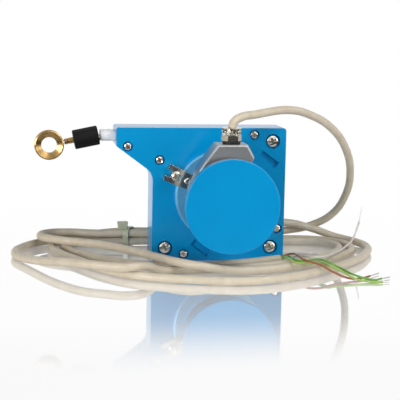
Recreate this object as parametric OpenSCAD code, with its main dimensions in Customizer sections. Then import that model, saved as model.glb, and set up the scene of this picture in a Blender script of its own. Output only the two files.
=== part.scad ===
// Draw wire encoder: a spring-wound measuring drum in a flat square housing,
// with a rotary encoder clamped on its face.
// +X right, -Y towards the encoder, +Z up. The origin is on the base, below the
// drum's axis and in the plane in which the wire leaves.

/* [Housing] */
// Width and height of the square part of the housing
body_side = 85; // [85:0.5:92]
// Depth of the housing, front face to back face
body_depth = 24; // [24:0.25:28]
// Thickness of the front cover
cover_t = 5; // [4.5:0.25:5.5]
// Thickness of the gasket between the cover and the tub
gasket_t = 0.5; // [0.3:0.1:0.8]
// Thickness of the tub's back wall
back_wall = 3; // [2.5:0.25:3.25]
// How far the wire neck reaches past the square part
neck_reach = 23.1; // [22:0.1:28]
// Height of the neck at its tip
neck_tip_h = 11.6; // [11:0.1:13]
// Height of the neck where it meets the square part
neck_root_h = 28.7; // [26:0.1:31]
// Radius of the outer corners
corner_r = 2; // [1:0.25:3]
// Radius of the hollow corner under the neck
neck_fillet = 9; // [5:0.5:11]

/* [Fasteners] */
// Distance of the large screws from the square's edges
large_inset = 8.5; // [8:0.25:9]
// Thread diameter of the large screws and of the rear inserts
large_thread = 4; // [3:0.5:4]
// Head diameter of the large screws
large_head = 8.2; // [7:0.1:8.4]
// How far outside the square's inscribed circle the small screws stand
screw_out = 1.5; // [1.25:0.05:2]
// Thread diameter of the small screws
small_thread = 3; // [2.5:0.1:3]
// Head diameter of the small screws
small_head = 5.2; // [5:0.1:5.6]
// Outer diameter of the threaded inserts
insert_d = 6.4; // [6.2:0.1:7]
// Length of the threaded inserts
insert_len = 12; // [11:0.5:14]
// Usable thread in the back of an insert
insert_thread_len = 7; // [5:0.5:7]

/* [Drum] */
// Diameter of the measuring wire
wire_d = 0.8; // [0.6:0.05:0.9]
// Depth of the wire's plane of travel under the housing's top
wire_depth = 5.894; // [5.75:0.01:6.5]
// Turns of wire side by side on the drum
wire_turns = 9; // [7:1:9]
// Height of the drum's flanges over the wire's centre
flange_lip = 2; // [1.5:0.1:2.3]
// Width of the drum over its flanges
drum_w = 11; // [10.8:0.1:11.4]
// Thickness of the drum's web and of its rim
drum_t = 2; // [1.5:0.1:2.4]
// Diameter of the shaft
shaft_d = 6; // [5.8:0.05:6.1]
// Width of the spring's strip
spring_w = 4.2; // [3.5:0.1:4.4]
// Turns of the spring
spring_turns = 8; // [5:1:9]
// Thickness of the spring's strip
spring_t = 0.5; // [0.3:0.05:0.7]

/* [Encoder] */
// Diameter of the encoder's mounting flange
flange_d = 57; // [55:0.25:58]
// Thickness of the mounting flange
flange_t = 4; // [3.5:0.1:4.5]
// Diameter of the bearing core behind the flange
core_d = 40; // [38:0.5:40.5]
// Length of the bearing core
core_len = 17; // [16:0.25:20]
// Diameter of the cast encoder body
cast_d = 49.4; // [48.5:0.1:50]
// Length of the cast encoder body
cast_len = 24; // [23:0.25:26]
// Depth of the cable lug on the cast body
lug_depth = 17; // [15:0.25:18]
// Height of the cable lug's top over the axis
lug_top = 35.9; // [35:0.1:38]
// Half width of the lug's top
lug_half = 9.1; // [8.5:0.1:10]
// Sideways offset of the lug and the gland
lug_x = 1.5; // [0:0.1:2]
// Diameter of the cap
cap_d = 57.2; // [57:0.1:59]
// Length of the cap
cap_len = 5.4; // [5:0.1:7]
// Rounding of the cap's front edge
cap_round = 0.4; // [0.3:0.1:1]
// Diameter of the code disc
disc_d = 33; // [30:0.5:33]

/* [Clamp] */
// Direction of the clamp around the drum's axis
clamp_angle = 156; // [150:1:159]
// Width of the clamp
clamp_w = 10.6; // [9:0.1:11]
// How far the clamp reaches outside the flange's edge
clamp_reach = 9.3; // [8:0.1:10.5]
// How far the clamp's tongue reaches inside the flange's edge
clamp_hold = 7.8; // [6.5:0.1:7.8]
// How far the clamp's foot hangs over the flange's edge
clamp_lap = 1.1; // [0.5:0.05:1.5]

/* [Gland] */
// Diameter of the gland's thread
gland_thread = 9; // [8:0.25:9.25]
// Width across the flats of the gland's two hexagons
gland_af = 10.8; // [10.6:0.1:12]

/* [Wire end] */
// Diameter of the guide nozzle
nozzle_d = 7.4; // [6:0.1:8]
// Length of the nozzle outside the neck
nozzle_len = 9.4; // [8:0.1:12]
// Slope at which the wire end hangs
end_slope = 11.7; // [8:0.1:14]
// Diameter of the rubber stopper
stopper_d = 12.2; // [11:0.1:14]
// Length of the rubber stopper
stopper_len = 15.8; // [13:0.1:18]
// Length of the crimp sleeve
sleeve_len = 5.8; // [5:0.1:8]
// Diameter of the crimp sleeve
sleeve_d = 3.8; // [3.4:0.1:4.5]
// Outer diameter of the ring
ring_d = 18.5; // [17:0.1:21]
// Bore of the ring
ring_bore = 9.8; // [8:0.1:10.5]
// Width of the ring
ring_w = 5.2; // [5:0.1:6]

/* [Cable] */
// Diameter of the signal cable
cable_d = 5.2; // [4.6:0.1:5.2]
// Diameter of one insulated core
core_wire_d = 1.3; // [1:0.05:1.3]

/* [Hidden] */
$fn = 48;

// Clearances
run_gap = 0.05;       // between parts that turn or slide in each other
fit_gap = 0.02;       // between parts that are pressed or screwed together
seat_gap = 0.3;       // between parts that must never touch
e = 0.01;

// Housing places
axis_z = body_side / 2;
side_x = body_side / 2;
front_y = -body_depth / 2;
back_y = body_depth / 2;
cover_y = front_y + cover_t;
tub_y = cover_y + gasket_t;
floor_y = back_y - back_wall;
neck_x = -side_x - neck_reach;

// Drum
wire_r = side_x - wire_depth;      // 230 mm of wire in one turn
drum_r = wire_r - wire_d / 2;
rim_r = drum_r - drum_t * 1.6;
lip_r = wire_r + flange_lip;
chamber_r = lip_r + 0.9;
lip_t = 1;
hub_r = 7;
shaft_r = shaft_d / 2;
wire_z = axis_z + wire_r;
wire_pitch = (drum_w - 2 * lip_t) / (wire_turns + 0.25);
set_r = 1.5;

// Bearings: inner radius, outer radius and width, with the balls between
bearing_r = 6.5;
bearing_w = 5;
ball_r = 0.95;
ball_ring = (shaft_r + bearing_r) / 2;
ball_count = 7;
shoulder_r = 5.2;

// Boss on the tub's floor that holds the rear bearing and the spring's inner end
boss_r = 9.5;
boss_y = drum_w / 2 - 5;
hub_y = boss_y - 0.2;
rear_bearing_y = boss_y + 0.1;
spring_y = boss_y + 0.3;
shaft_end_y = rear_bearing_y + bearing_w + 2.6;

// Encoder stations, measured forward of the drum's mid-plane
f_face = -front_y;
f_spigot = f_face - 3.5;
f_plate = f_face + flange_t;
f_core = f_plate + core_len;
f_cast = f_core + cast_len;
seal_t = 0.4;
f_cap = f_cast + seal_t;
f_end = f_cap + cap_len;
spigot_len = 2;
spigot_r = 18;
cast_r = cast_d / 2;
cast_wall = 2.5;
cast_in = cast_r - cast_wall;
cap_r = cap_d / 2;
cap_wall = 2;
f_board = f_cast - 3.5;
board_t = 1.6;
f_disc = f_cast - 8;
disc_t = 1;

// Cast body's lug, as corners from the drum's axis
lug_low = lug_top - 7.7;
lug_right = lug_half + 4.2;
lug_left = lug_half + 7.5;
gland_y = -f_core - lug_depth / 2 - 1.5;
gland_z = axis_z + lug_top;
gland_r = gland_thread / 2;
oring_t = 1.9;
hex_h = 3.7;
nut_h = 4.1;
hex_r = gland_af / 2 / cos(30);
exit_z = gland_z + oring_t + hex_h + nut_h;

// Screws
small_r = small_thread / 2;
large_r = large_thread / 2;
small_head_h = 1.7;
small_grip = 7;
body_screw_ring = 14;
large_head_h = 2.5;
small_sink = 2;
large_sink = 2.8;
recess_gap = 0.6;
small_ring = side_x + screw_out;
neck_screw = [neck_x + 7.3, body_side - 12];
SMALL = concat([for (a = [60, 150, 240, 330])
    [small_ring * cos(a), axis_z + small_ring * sin(a)]], [neck_screw]);
large_x = side_x - large_inset;
LARGE = [[large_x, body_side - large_inset], [large_x, large_inset],
    [-large_x, large_inset]];

// Spare holding places moulded in the cover: middle of each slot
slot_len = 13;
slot_w = 4.4;
slot_tilt = -37;
slot_depth = 2;
SLOTS = [for (s = [[35.5, side_x - 3.7], [252.1, side_x - 6.5]])
    [s[1] * cos(s[0]), axis_z + s[1] * sin(s[0])]];

// Wire end: the wire leaves the nozzle, then hangs at a slope from this point
nozzle_end_x = neck_x - nozzle_len;
hang_x = nozzle_end_x - 0.9;
nozzle_seat = 8;
nozzle_bore = wire_d + 0.6;
sleeve_x = stopper_len + fit_gap;
sleeve_end = sleeve_x + sleeve_len;
loop_r = ring_d / 2 - 0.55;
ring_x = sleeve_end + loop_r + 1.1;

// Outline of the housing: x, z and the radius of each corner
OUTLINE = [[-side_x, 0, corner_r], [side_x, 0, corner_r],
    [side_x, body_side, corner_r], [neck_x, body_side, corner_r * 0.75],
    [neck_x, body_side - neck_tip_h, corner_r * 0.75],
    [-side_x, body_side - neck_root_h, neck_fillet]];

// Signal cable: from the gland up and over, then four loose turns on the floor
exit_y = -43;
CABLE = [[1.5, exit_y, 88], [2.8, exit_y, 91.6], [7.6, -41, 94.4], [16.4, -36, 95.5],
    [43, -18, 97], [59, -6, 93], [76, 6, 84], [90, 19, 69], [97, 30, 52], [97, 40, 34],
    [90, 47, 20], [77, 52, 11.5], [60, 50, 8.4], [42, 43.5, 8.4], [22, 40, 8.4],
    [-16, 40, 8.4], [-52, 40, 9], [-74, 43, 8.4], [-92, 48, 8.4], [-105, 46, 8.4],
    [-111, 36, 8.4], [-105, 25, 8.4], [-74, 2, 8.4], [-57, -18, 8.4], [-43, -39, 8.4],
    [-31, -57, 8.4], [-17, -64, 7], [0, -59, 3.6], [43, -46, 2.7], [64, -32, 2.7],
    [82, -14, 2.7], [93, 5, 2.7], [94, 22, 2.7], [86, 37, 2.7], [71, 45, 2.7],
    [50, 46.5, 2.7], [0, 46, 2.7], [-52, 46, 3.4], [-91, 46, 2.7], [-101, 38, 2.7],
    [-104, 25, 2.7], [-100, 5, 2.7], [-92, -14, 2.7], [-64, -61, 2.7], [-45, -73, 2.7],
    [-18, -82, 2.7], [8, -85, 2.7], [35, -75, 2.7], [60, -56, 2.7], [82, -34, 2.7],
    [98, -9, 2.7], [106, 15, 2.7], [103, 32, 3], [91, 42, 5], [76, 45.5, 10],
    [60, 46, 14], [40, 46, 14], [2, 46, 8.4], [-52, 46.2, 9], [-70, 51, 7],
    [-88, 54, 3.4], [-106, 47, 2.7], [-121, 29, 2.7], [-128, 7, 2.7], [-122, -13, 3],
    [-92, -54, 8.2], [-76, -65, 8.4], [-64, -69.5, 8.4], [-53, -65, 8.2],
    [-42, -57, 3.6], [-30, -52, 2.7], [18, -45, 2.7], [42, -37, 2.7], [63, -23, 2.7],
    [78, -6, 2.7], [86, 12, 2.7], [85, 26, 2.7], [75, 36, 2.7], [56, 39.5, 2.7],
    [0, 40, 2.7], [-52, 40, 3.4], [-73, 40.5, 2.7], [-88, 38, 2.7], [-95.5, 29, 2.7],
    [-93, 13, 2.7], [-83, -5, 2.7], [-68, -23, 2.7], [-50, -35, 2.7], [-22, -40, 2.7],
    [10, -34, 2.7], [38, -22, 2.7]];

// The four cores leave the jacket's end in a square and lie open beside it
jacket_end = CABLE[len(CABLE) - 1];
jacket_way = unit(jacket_end - CABLE[len(CABLE) - 2]);
jacket_side = [-jacket_way[1], jacket_way[0], 0];
core_offset = 0.9;
BROWN = [[41.5, -18.5, 4], [45.5, -21, 5.6], [47, -33, 7.2], [46.5, -46, 8],
    [47.5, -56, 8.2], [54, -63, 7.2], [61.5, -69.5, 3.6], [69.5, -75, 1.1],
    [78, -73, 0.8], [84, -68, 0.8], [92, -60, 0.8]];
GREEN = [[42, -25, 5], [42.5, -34, 6.4], [43.5, -44, 6.4], [48, -47.5, 6.4],
    [56, -49, 7.6], [61, -60, 7.6], [66.5, -63.5, 5.2], [72.5, -73.5, 3],
    [83, -79.5, 1], [89, -75.5, 0.8], [95.5, -71.5, 0.8]];
YELLOW = [[40.5, -26, 3.6], [39.5, -33, 6.2], [39.5, -44, 6.6], [42.5, -53, 6.6],
    [50, -55.5, 6.4], [56, -54, 6.4], [60, -63.5, 6.2], [66.5, -71, 4.2],
    [72, -80, 1.8], [82, -84.5, 0.8], [87, -85, 0.8], [91, -85, 0.8]];
WHITE = [[42, -21.5, 2.8], [46.5, -26, 4.4], [50.5, -32, 6.3], [58, -41, 7.4],
    [73, -27, 7.2], [83.5, -12, 8], [90.5, -4, 11], [95, 1, 18], [96.5, 2, 22],
    [100, 8, 31]];

// Tie round the four strands behind the housing
tie_x = -52;
tie_w = 4;
tie_t = 0.7;
tie_near = 36.4;
tie_far = 49.9;
tie_top = 12.6;
tie_head = [6.5, 4.5, 4.5];

function unit(v) = v / norm(v);

// Points of one rounded corner of an outline, from its two neighbours
function corner(a, p, b, r, n = 6) =
    let (u = unit(a - p), v = unit(b - p), half = acos(u * v) / 2,
        c = p + unit(u + v) * r / sin(half),
        s = p + u * r / tan(half) - c, t = p + v * r / tan(half) - c,
        from = atan2(s[1], s[0]),
        sweep = (atan2(t[1], t[0]) - from + 540) % 360 - 180)
    [for (i = [0 : n]) c + r * [cos(from + sweep * i / n), sin(from + sweep * i / n)]];
function xy(q) = [q[0], q[1]];
function rounded(P) = [for (i = [0 : len(P) - 1])
    each corner(xy(P[(i + len(P) - 1) % len(P)]), xy(P[i]), xy(P[(i + 1) % len(P)]), P[i][2])];

// Points of an arc in a profile
function arc(c, r, from, to, n = 6) =
    [for (i = [0 : n]) c + r * [cos(from + (to - from) * i / n), sin(from + (to - from) * i / n)]];

// Directions and cross axes of a swept tube, carried along its points
function way(P, i) = unit(P[min(i + 1, len(P) - 1)] - P[max(i - 1, 0)]);
function carried(v, t) = unit(v - t * (v * t));
function normals(P, v, i = 0) = i == len(P) ? [] :
    let (n = carried(v, way(P, i))) concat([n], normals(P, n, i + 1));

// Extrudes an outline drawn in x and z between two places along y
module slab(y0, y1)
    translate([0, y1, 0]) rotate([90, 0, 0]) linear_extrude(y1 - y0) children();

// Round bar along y
module bar(r, y0, y1, x = 0, z = axis_z)
    translate([x, y1, z]) rotate([90, 0, 0]) cylinder(r = r, h = y1 - y0);

// Turns a profile drawn as radius and distance forward round the drum's axis
module turned()
    translate([0, 0, axis_z]) rotate([90, 0, 0]) rotate_extrude() children();

// Sweeps a round section along points
module tube(P, d, sides)
{
    N = normals(P, [0, 0, 1]);
    rings = [for (i = [0 : len(P) - 1]) let (t = way(P, i), n = N[i], b = cross(t, n))
        for (k = [0 : sides - 1])
            P[i] + d / 2 * (n * cos(360 * k / sides) + b * sin(360 * k / sides))];
    walls = [for (i = [0 : len(P) - 2]) for (k = [0 : sides - 1])
        let (a = i * sides + k, b = i * sides + (k + 1) % sides)
        each [[a, a + sides, b], [b, a + sides, b + sides]]];
    first = [for (k = [0 : sides - 1]) k];
    last = [for (k = [sides - 1 : -1 : 0]) (len(P) - 1) * sides + k];
    polyhedron(rings, concat(walls, [first], [last]), convexity = 8);
}

// Domed screw head with a cross recess, seat at the origin, towards +z
module pan_head(d, h)
    difference()
    {
        rotate_extrude()
            polygon(concat([[0, 0], [d / 2 - 0.2, 0], [d / 2, 0.3]],
                [for (i = [0 : 5]) [d / 2 * cos(i * 18), 0.45 * h + 0.55 * h * sin(i * 18)]],
                [[0, h]]));
        for (a = [0, 90])
            rotate(a) translate([-d * 0.31, -d * 0.09, h * 0.35])
                cube([d * 0.62, d * 0.18, h]);
    }

// Screw along y with its head towards the front, seat at y0 and tip at y1
module front_screw(x, z, y0, y1, head, head_h, r)
{
    translate([x, y0, z]) rotate([90, 0, 0]) rotate(25) pan_head(head, head_h);
    bar(r, y0 - 0.1, y1, x, z);
}

module outline() polygon(rounded(OUTLINE));

// Local frame of the wire end: +x runs out along the hanging wire
module wire_end_frame()
    translate([hang_x, 0, wire_z]) rotate([0, -end_slope, 0]) mirror([1, 0, 0]) children();
function hung(x, z) = [hang_x - x * cos(end_slope) + z * sin(end_slope), 0,
    wire_z - x * sin(end_slope) - z * cos(end_slope)];

module housing_tub() color("deepskyblue")
{
    difference()
    {
        slab(tub_y, back_y) outline();
        bar(chamber_r, tub_y - 1, floor_y);
        // wire channel and nozzle seat in the neck
        translate([neck_x - 1, 0, wire_z]) rotate([0, 90, 0])
            cylinder(r = 1.5, h = -neck_x);
        translate([neck_x - 1, 0, wire_z]) rotate([0, 90, 0])
            cylinder(r = nozzle_d / 2 - 1 + fit_gap, h = nozzle_seat + 1);
        for (p = SMALL)
            bar(small_r + fit_gap, tub_y - 1, tub_y + small_grip + 1, p[0], p[1]);
        for (p = LARGE)
        {
            bar(large_r + 0.3, tub_y - 1, back_y - insert_len + 1, p[0], p[1]);
            bar(insert_d / 2 + fit_gap, back_y - insert_len, back_y + 1, p[0], p[1]);
        }
    }
    difference()
    {
        bar(boss_r, boss_y, floor_y + 0.5);
        bar(bearing_r + fit_gap, boss_y - 1, rear_bearing_y + bearing_w);
        bar(shoulder_r, boss_y, floor_y + 1);
    }
}

module front_cover() color("deepskyblue") difference()
{
    slab(front_y, cover_y) outline();
    bar(spigot_r + run_gap, front_y - 1, cover_y + 1);
    for (p = SMALL)
    {
        bar(small_head / 2 + recess_gap, front_y - 1, front_y + small_sink, p[0], p[1]);
        bar(small_r + 0.2, front_y - 1, cover_y + 1, p[0], p[1]);
    }
    for (p = LARGE)
    {
        bar(large_head / 2 + recess_gap, front_y - 1, front_y + large_sink, p[0], p[1]);
        bar(large_r + 0.3, front_y - 1, cover_y + 1, p[0], p[1]);
    }
    for (p = SLOTS) spare_slot(p);
    bar(small_r + fit_gap, front_y - 1, cover_y + 1, clamp_hole[0], clamp_hole[1]);
}

// Milled pocket for a clamp at another place
module spare_slot(p)
    translate([p[0], front_y - 1, p[1]]) rotate([0, -slot_tilt, 0])
        translate([-slot_len / 2, 0, -slot_w / 2])
            cube([slot_len, slot_depth + 1, slot_w]);

module cover_gasket() color([0.1, 0.1, 0.11]) difference()
{
    slab(cover_y, tub_y) outline();
    bar(chamber_r + 0.5, cover_y - 1, tub_y + 1);
    for (p = SMALL) bar(small_r + 0.2, cover_y - 1, tub_y + 1, p[0], p[1]);
    for (p = LARGE) bar(large_r + 0.3, cover_y - 1, tub_y + 1, p[0], p[1]);
}

module cover_screws() color("silver")
    for (p = SMALL)
        front_screw(p[0], p[1], front_y + small_sink, tub_y + small_grip, small_head,
            small_head_h, small_r);

module corner_screws() color("silver")
    for (p = LARGE)
        front_screw(p[0], p[1], front_y + large_sink, back_y - insert_len + 3.5,
            large_head, large_head_h, large_r - fit_gap);

module rear_inserts() color("goldenrod")
    for (p = LARGE) difference()
    {
        bar(insert_d / 2, back_y - insert_len, back_y, p[0], p[1]);
        bar(large_r, back_y - insert_thread_len, back_y + 1, p[0], p[1]);
        bar(large_r, back_y - insert_len - 1, back_y - insert_len + 4, p[0], p[1]);
    }

// Servo clamp: local +x runs outward from the axis, -y forward
foot_t = 6.6;
foot_in = flange_d / 2 + seat_gap / 3;
clamp_outer = flange_d / 2 + clamp_reach;
clamp_inner = flange_d / 2 - clamp_hold;
clamp_step = flange_d / 2 - clamp_lap;
tongue_t = 1.9;
foot_hole_r = flange_d / 2 + 2.7;
pin_r = flange_d / 2 - 5.1;
clamp_hole = [foot_hole_r * cos(clamp_angle), axis_z + foot_hole_r * sin(clamp_angle)];
clamp_pin_at = [pin_r * cos(clamp_angle), axis_z + pin_r * sin(clamp_angle)];
tongue_y = f_plate + seat_gap / 3;

module clamp_frame() translate([0, 0, axis_z]) rotate([0, -clamp_angle, 0]) children();

module servo_clamp() color("gainsboro") difference()
{
    clamp_frame()
    {
        translate([foot_in, -f_face - foot_t, -clamp_w / 2])
            cube([clamp_outer - foot_in, foot_t, clamp_w]);
        // part of the foot that reaches over the flange's edge
        translate([clamp_step, -f_face - foot_t, -clamp_w / 2])
            cube([foot_in - clamp_step + 0.1, f_face + foot_t - tongue_y, clamp_w]);
        translate([clamp_inner, -tongue_y - tongue_t, -clamp_w * 0.46])
            cube([clamp_step - clamp_inner + 0.6, tongue_t, clamp_w * 0.92]);
    }
    // fork at the outer end
    clamp_frame() translate([clamp_outer - 3.4, -f_face - foot_t - 1, -clamp_w * 0.22])
        cube([4.4, foot_t + 2, clamp_w * 0.44]);
    bar(small_r + 0.2, -f_face - foot_t - 1, -f_face + 1, clamp_hole[0], clamp_hole[1]);
    bar(1.25, -tongue_y - tongue_t - 1, -tongue_y + 1, clamp_pin_at[0], clamp_pin_at[1]);
}

module clamp_screw() color("silver")
    front_screw(clamp_hole[0], clamp_hole[1], -f_face - foot_t, cover_y - 0.5,
        6.2, 2, small_r);

module clamp_pin() color("silver")
    front_screw(clamp_pin_at[0], clamp_pin_at[1], -tongue_y - tongue_t, -tongue_y,
        3.8, 1.1, 1.25 - fit_gap);

module wire_nozzle() color("white")
    translate([neck_x, 0, wire_z]) rotate([0, 90, 0]) difference()
    {
        union()
        {
            translate([0, 0, -nozzle_len]) rotate_extrude() polygon(concat([[0, 0]],
                arc([nozzle_d / 2 - 0.6, 0.5], 0.5, -90, 0),
                [[nozzle_d / 2 - 0.1, 1.6], [nozzle_d / 2, 1.8], [nozzle_d / 2, nozzle_len],
                [0, nozzle_len]]));
            translate([0, 0, -0.5]) cylinder(r = nozzle_d / 2 - 1, h = nozzle_seat + 0.5);
        }
        translate([0, 0, -nozzle_len - 1])
            cylinder(d = nozzle_bore, h = nozzle_len + nozzle_seat + 2);
    }

module wire_drum() color("lightgray") difference()
{
    turned() polygon([[0, drum_w / 2], [lip_r, drum_w / 2], [lip_r, drum_w / 2 - lip_t],
        [drum_r, drum_w / 2 - lip_t], [drum_r, lip_t - drum_w / 2],
        [lip_r, lip_t - drum_w / 2], [lip_r, -drum_w / 2], [rim_r, -drum_w / 2],
        [rim_r, drum_w / 2 - drum_t], [hub_r, drum_w / 2 - drum_t], [hub_r, -hub_y],
        [0, -hub_y]]);
    bar(shaft_r + fit_gap, -drum_w, drum_w);
    // lightening holes in the web
    for (a = [0 : 60 : 300])
        bar(5, -drum_w, drum_w / 2, 20 * cos(a), axis_z + 20 * sin(a));
    translate([0, set_y, axis_z]) rotate([0, 90, 0]) cylinder(r = set_r, h = hub_r + 1);
}
set_y = (hub_y - drum_w / 2 + drum_t) / 2;

module wound_wire() color("lightsteelblue")
    turned() difference()
    {
        union()
        {
            translate([drum_r + fit_gap, -wire_pitch * (wire_turns - 1) / 2])
                square([wire_d * 0.4, wire_pitch * (wire_turns - 1)]);
            for (i = [0 : wire_turns - 1])
                translate([wire_r + fit_gap, wire_pitch * (i - (wire_turns - 1) / 2)])
                    circle(d = wire_d, $fn = 24);
        }
        translate([0, -drum_w]) square([drum_r + fit_gap, 2 * drum_w]);
    }

module drum_set_screw() color("dimgray")
    translate([shaft_r + fit_gap, set_y, axis_z]) rotate([0, 90, 0])
        cylinder(r = set_r - fit_gap, h = hub_r - shaft_r - 0.5);

module drum_shaft() color("silver") turned()
    polygon([[0, f_disc + 2], [shaft_r - 0.4, f_disc + 2], [shaft_r, f_disc + 1.6],
        [shaft_r, clip_f + clip_t + run_gap], [clip_r, clip_f + clip_t + run_gap],
        [clip_r, clip_f - run_gap], [shaft_r, clip_f - run_gap],
        [shaft_r, -shaft_end_y + 0.4], [shaft_r - 0.4, -shaft_end_y], [0, -shaft_end_y]]);
clip_t = 0.7;
clip_f = -rear_bearing_y - bearing_w - clip_t - 0.1;
clip_r = shaft_r - 0.35;

module shaft_clip() color("dimgray") difference()
{
    bar(shaft_r + 1.2, -clip_f - clip_t, -clip_f);
    bar(clip_r + fit_gap, -clip_f - clip_t - 1, -clip_f + 1);
    translate([0, -clip_f, axis_z - shaft_r * 1.2]) rotate([90, 0, 0])
        translate([-shaft_r * 0.6, -shaft_r, -1]) cube([shaft_r * 1.2, shaft_r * 1.4, clip_t + 2]);
}

module shaft_spacer() color("silver")
    turned() translate([shaft_r + fit_gap, drum_w / 2 + fit_gap])
        square([1.2, front_bearing_f[0] - drum_w / 2 - 2 * fit_gap]);

// Spiral spring between the boss and the drum's rim
spring_in = boss_r + 0.1;
spring_out = rim_r - spring_t - 0.1;
function spiral(r_add, turns, step) = [for (a = [0 : step : 360 * turns])
    (spring_in + (spring_out - spring_in) * a / (360 * turns) + r_add) * [cos(a), sin(a)]];

module spiral_spring() color("slategray")
    slab(spring_y, spring_y + spring_w) translate([0, axis_z]) polygon(concat(
        spiral(0, spring_turns, 20),
        [for (i = [spring_turns * 18 : -1 : 0]) spiral(spring_t, spring_turns, 20)[i]]));

// Two bearings in the encoder's core and one in the tub's boss, as rear faces
front_bearing_f = [f_spigot, f_core - bearing_w];
BEARINGS = concat(front_bearing_f, [-rear_bearing_y - bearing_w]);

module race(r0, r1, f)
    turned() translate([0, f]) difference()
    {
        translate([r0, 0]) square([r1 - r0, bearing_w]);
        translate([ball_ring, bearing_w / 2]) circle(r = ball_r + 0.03, $fn = 32);
    }

module bearing_outer_rings() color("silver")
    for (f = BEARINGS) race(ball_ring + 0.55, bearing_r, f);

module bearing_inner_rings() color("silver")
    for (f = BEARINGS) race(shaft_r + fit_gap, ball_ring - 0.55, f);

module bearing_balls() color("silver")
    for (f = BEARINGS) for (i = [0 : ball_count - 1])
        translate([ball_ring * cos(360 * i / ball_count), -f - bearing_w / 2,
            axis_z + ball_ring * sin(360 * i / ball_count)])
            sphere(r = ball_r, $fn = 24);

module encoder_flange() color("silver") difference()
{
    turned() polygon([[shoulder_r, f_spigot], [spigot_r, f_spigot], [spigot_r, f_face],
        [flange_d / 2, f_face], [flange_d / 2, f_plate - 1], [flange_d / 2 - 1, f_plate],
        [core_d / 2, f_plate], [core_d / 2, f_core], [shoulder_r, f_core]]);
    bar(bearing_r + fit_gap, -front_bearing_f[0] - bearing_w, -f_spigot + 1);
    bar(bearing_r + fit_gap, -f_core - 1, -front_bearing_f[1]);
    for (a = SCREW_ANGLES)
        bar(1.5 + fit_gap, -f_core - 1, -f_core + 7, body_screw_ring * cos(a),
            axis_z + body_screw_ring * sin(a));
}
SCREW_ANGLES = [30, 150, 270];

// Outline of the cast body's lug, drawn in by an edge width
module lug(d)
    polygon([[lug_x - lug_half + d, lug_top - d], [lug_x + lug_half - d, lug_top - d],
        [lug_x + lug_right - d, lug_low], [lug_x + lug_right - 4.3 - d, cast_r * 0.73],
        [0, cast_r * 0.3], [-cast_r * 0.86 + d, cast_r * 0.48],
        [-lug_left - 2 + d, lug_low - 7.5], [-lug_left + 1.4 + d, lug_low - 2.5]]);

module encoder_body() color([0.62, 0.62, 0.63]) difference()
{
    union()
    {
        bar(cast_r, -f_cast - spigot_len, -f_core);
        hull()
        {
            slab(-f_core - lug_depth + 0.8, -f_core) translate([0, axis_z]) lug(0);
            slab(-f_core - lug_depth, -f_core) translate([0, axis_z]) lug(0.8);
        }
    }
    bar(cast_in, -f_cast - spigot_len - 1, -f_core - cast_wall);
    bar(shoulder_r, -f_core - cast_wall - 1, -f_core + 1);
    for (a = SCREW_ANGLES)
        bar(1.7, -f_core - cast_wall - 1, -f_core + 1, body_screw_ring * cos(a),
            axis_z + body_screw_ring * sin(a));
    translate([lug_x, gland_y, axis_z + cast_in - 4])
        cylinder(r = gland_r + fit_gap, h = lug_top - cast_in + 5);
}

module body_screws() color("silver")
    for (a = SCREW_ANGLES)
        front_screw(body_screw_ring * cos(a), axis_z + body_screw_ring * sin(a),
            -f_core - cast_wall, -f_core + 6, 5, 1.8, 1.5);

module encoder_cap() color("deepskyblue") turned() polygon(concat(
    [[cast_r + run_gap, f_cap], [cap_r, f_cap]],
    arc([cap_r - cap_round, f_end - cap_round], cap_round, 0, 90),
    [[0, f_end], [0, f_end - cap_wall], [cap_r - cap_wall, f_end - cap_wall],
    [cap_r - cap_wall, f_cast + spigot_len], [cast_r + run_gap, f_cast + spigot_len]]));

module cap_seal() color([0.08, 0.08, 0.08])
    turned() translate([cast_r + run_gap, f_cast])
        square([cap_r - 0.6 - cast_r - run_gap, seal_t]);

module disc_hub() color("goldenrod")
    turned() polygon([[shaft_r + fit_gap, f_disc - 3], [5, f_disc - 3],
        [5, f_disc], [3.8, f_disc], [3.8, f_disc + 1.6], [shaft_r + fit_gap, f_disc + 1.6]]);

module code_disc() color([0.75, 0.85, 0.9])
    turned() translate([3.8 + fit_gap, f_disc])
        square([disc_d / 2 - 3.8 - fit_gap, disc_t]);

// Light source and sensor, a block that straddles the disc's edge
module read_head() color([0.15, 0.15, 0.16]) difference()
{
    translate([-5, -f_board, axis_z + disc_d / 2 - 5]) cube([10, f_board - f_disc + 3, 8]);
    translate([-6, -f_disc - disc_t - 0.5, axis_z])
        cube([12, disc_t + 1, disc_d / 2 + 1]);
}

PILLARS = [0, 130, 230];
pillar_ring = cast_in - 2.2;

module board_pillars() color("silver")
    for (a = PILLARS) difference()
    {
        bar(2, -f_board, -f_core - cast_wall, pillar_ring * cos(a),
            axis_z + pillar_ring * sin(a));
        bar(1.05, -f_board - 1, -f_board + 6, pillar_ring * cos(a),
            axis_z + pillar_ring * sin(a));
    }

module board_screws() color("silver")
    for (a = PILLARS)
        front_screw(pillar_ring * cos(a), axis_z + pillar_ring * sin(a),
            -f_board - board_t, -f_board + 4, 3.8, 1.4, 1);

module circuit_board() color([0.05, 0.35, 0.2])
{
    difference()
    {
        bar(cast_in - 0.2, -f_board - board_t, -f_board);
        bar(5, -f_board - board_t - 1, -f_board + 1);
        for (a = PILLARS)
            bar(1.15, -f_board - board_t - 1, -f_board + 1, pillar_ring * cos(a),
                axis_z + pillar_ring * sin(a));
    }
    // driver chips and the plug of the cable's cores
    for (c = [[-14, -6, 7, 5, 1.2], [7, -8, 5, 5, 1.2], [-6, 12, 12, 5, 3.6],
        [-4, -15, 8, 4, 1.2]])
        translate([c[0], -f_board - board_t - c[4], axis_z + c[1]])
            cube([c[2], c[4] + e, c[3]]);
}

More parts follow.
